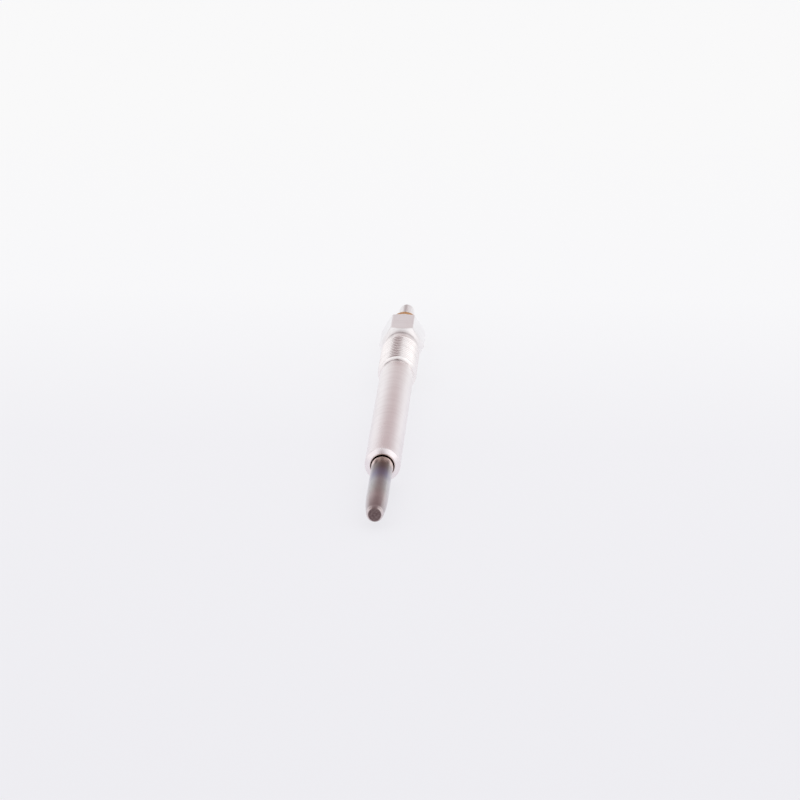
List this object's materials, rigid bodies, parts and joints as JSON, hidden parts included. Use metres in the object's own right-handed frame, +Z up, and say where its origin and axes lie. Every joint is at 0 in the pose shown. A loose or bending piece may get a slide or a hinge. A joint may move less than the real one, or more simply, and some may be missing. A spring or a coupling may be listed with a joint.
{
  "type": "glow plug",
  "caption": "Slender diesel glow plug with a heat-tinted closed tube, long plated shank, screw thread, hexagon, amber insulating bush and round push-on terminal.",
  "frame": {"origin": "on the table, under the middle of the plug's length, with the plug lying as it comes to rest", "axes": "+Y along the plug from its glow tube to its terminal (the axis rises 0.68 degrees that way), +Z up"},
  "size_m": [0.0116, 0.1398, 0.0103],
  "materials": {
    "plated_steel": "turned, satin nickel plate",
    "heat_tinted_tube": "heat-tinted nickel alloy, brown to violet to grey",
    "resistance_wire": "drawn wire",
    "oxide_powder": "matt, packed",
    "seal_rubber": "matt",
    "rod_steel": "drawn",
    "amber_plastic": "amber, slightly translucent",
    "terminal_plating": "satin plate"
  },
  "bodies": {
    "root": {"plug_body": "plated_steel", "glow_tube": "heat_tinted_tube", "heating_coil": "resistance_wire", "control_coil": "resistance_wire", "insulating_powder": "oxide_powder", "tube_seal": "seal_rubber", "terminal_rod": "rod_steel", "body_seal": "seal_rubber", "insulating_bush": "amber_plastic", "terminal_pin": "terminal_plating"}
  },
  "joints": []
}
